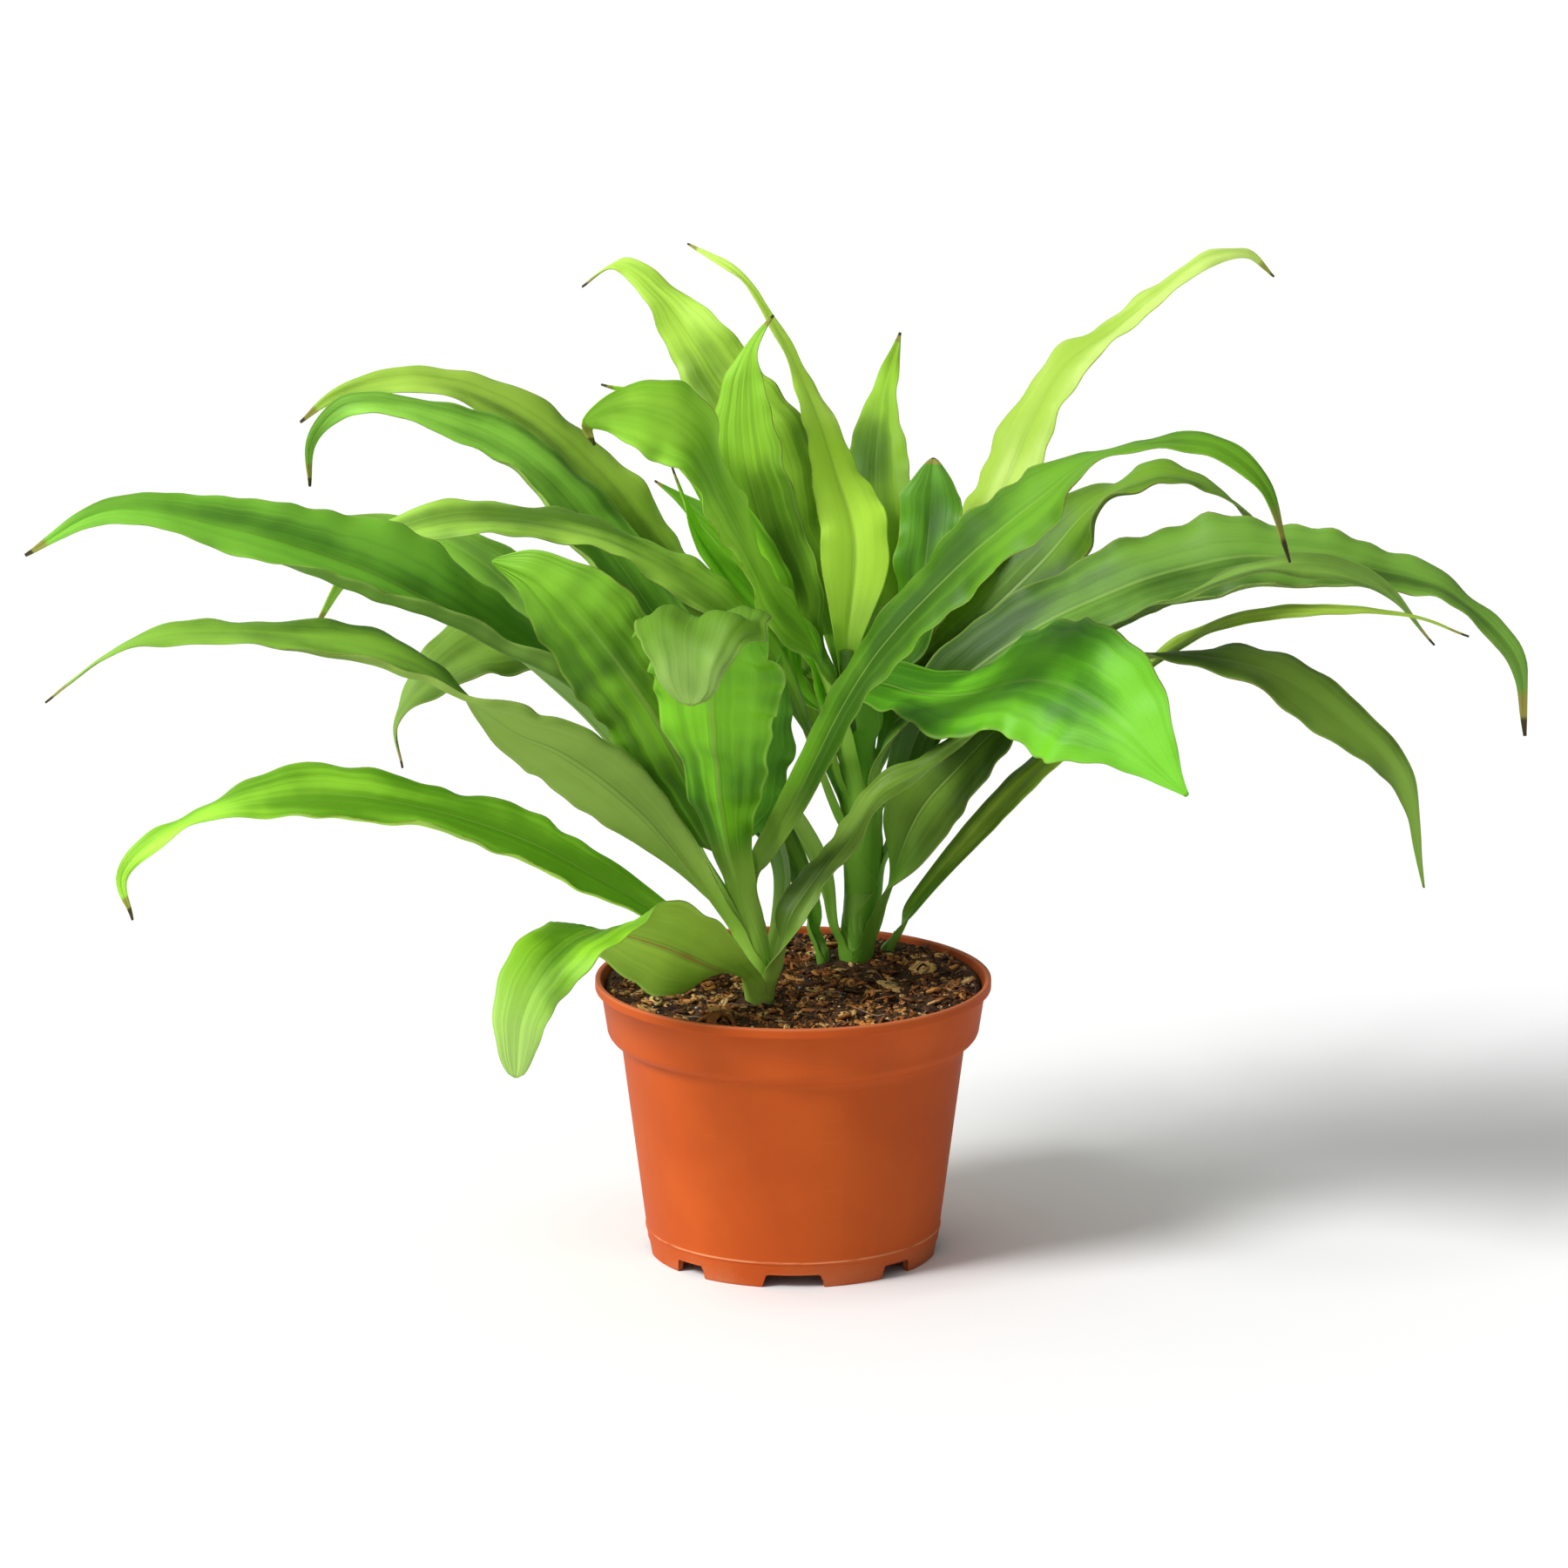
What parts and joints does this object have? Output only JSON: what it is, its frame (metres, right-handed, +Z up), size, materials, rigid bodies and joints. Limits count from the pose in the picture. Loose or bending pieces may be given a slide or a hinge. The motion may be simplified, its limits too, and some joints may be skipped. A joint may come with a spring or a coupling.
{
  "type": "potted dracaena",
  "caption": "Potted dracaena: arching strap leaves with waved edges on upright shoots, in a round nursery pot filled with soil.",
  "frame": {"origin": "on the floor under the middle of the whole plant's bounding box, close to the pot's own axis", "axes": "+X along the plant's longest spread, -Y towards the front of the pictured view, +Z up"},
  "size_m": [0.5751, 0.2904, 0.3744],
  "materials": {
    "terracotta_plastic": "satin moulded plastic",
    "potting_soil": "moist crumbly peat mix",
    "stem_green": "smooth green stem",
    "leaf_green": "satin leaf",
    "leaf_dark": "satin leaf, shaded",
    "leaf_lime": "young satin leaf"
  },
  "bodies": {
    "root": {"leaf_front_01": "leaf_green", "leaf_front_02": "leaf_dark", "leaf_front_03": "leaf_green", "leaf_front_04": "leaf_green", "leaf_front_05": "leaf_green", "leaf_front_06": "leaf_green", "leaf_front_07": "leaf_green", "leaf_front_08": "leaf_green", "leaf_front_09": "leaf_green", "leaf_front_10": "leaf_green", "leaf_back_01": "leaf_green", "leaf_back_02": "leaf_green", "leaf_back_03": "leaf_dark", "leaf_back_04": "leaf_green", "leaf_back_05": "leaf_green", "leaf_back_06": "leaf_green", "leaf_back_07": "leaf_green", "leaf_back_08": "leaf_dark", "leaf_back_09": "leaf_green", "leaf_back_10": "leaf_green", "leaf_back_11": "leaf_green", "leaf_back_12": "leaf_green", "leaf_back_13": "leaf_lime", "leaf_back_14": "leaf_green", "leaf_back_15": "leaf_green", "leaf_back_16": "leaf_green", "leaf_back_17": "leaf_green", "leaf_back_18": "leaf_lime", "leaf_small_01": "leaf_green", "leaf_side_01": "leaf_dark", "stem_front": "stem_green", "stem_back": "stem_green", "stem_small": "stem_green", "stem_side": "stem_green", "soil": "potting_soil", "pot": "terracotta_plastic"}
  },
  "joints": []
}
